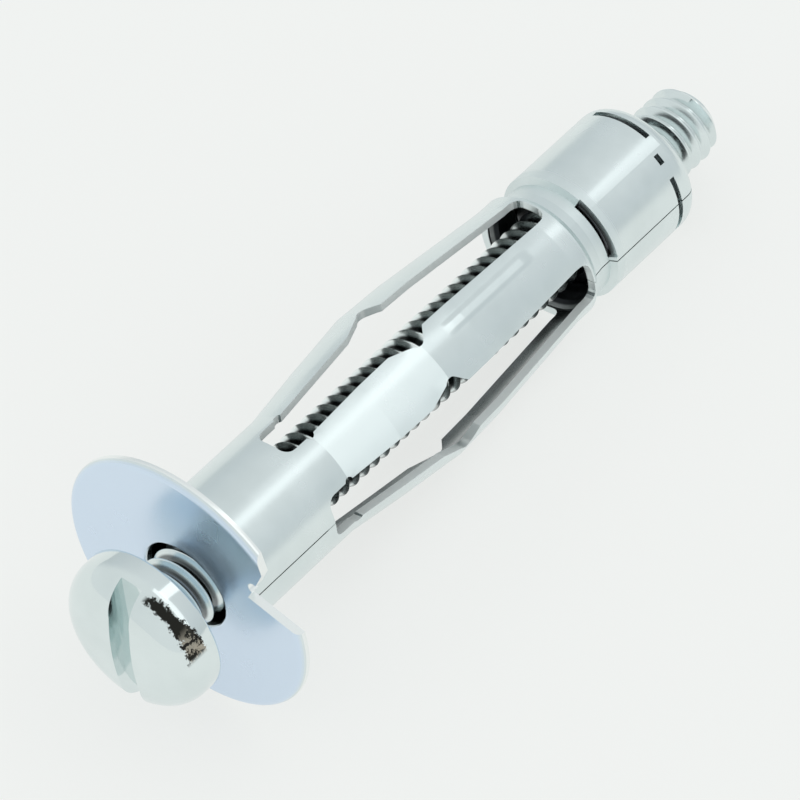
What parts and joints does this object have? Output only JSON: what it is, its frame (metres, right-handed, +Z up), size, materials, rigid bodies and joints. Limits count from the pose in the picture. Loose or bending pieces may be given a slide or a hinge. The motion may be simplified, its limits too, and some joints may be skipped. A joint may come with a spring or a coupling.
{
  "type": "hollow wall anchor",
  "caption": "Hollow wall anchor: a slotted sheet-steel sleeve with a split round flange, a nut gripped in its end, and a slotted pan head screw through it.",
  "frame": {"origin": "middle of the lying anchor's footprint, on the surface it lies on", "axes": "+X from the screw head towards the screw tip, level; +Z up; the anchor's own axis lies in the XZ plane and drops 6.3 degrees towards the tip, because it rests on the flange's rim and the sleeve's end"},
  "size_m": [0.0405, 0.0134, 0.0134],
  "materials": {
    "sleeve_zinc": "satin bright zinc plating on rolled sheet steel",
    "nut_zinc": "zinc plated turned steel",
    "screw_zinc": "bright zinc plated cold-headed steel"
  },
  "bodies": {
    "sleeve": {"sleeve": "sleeve_zinc", "nut": "nut_zinc"},
    "screw": {"screw": "screw_zinc"}
  },
  "joints": [
    {"name": "screw_travel", "type": "slide", "parent": "sleeve", "child": "screw", "axis": [0.994, 0, -0.1095], "range_m": [-0.0378, 0.0021]}
  ]
}
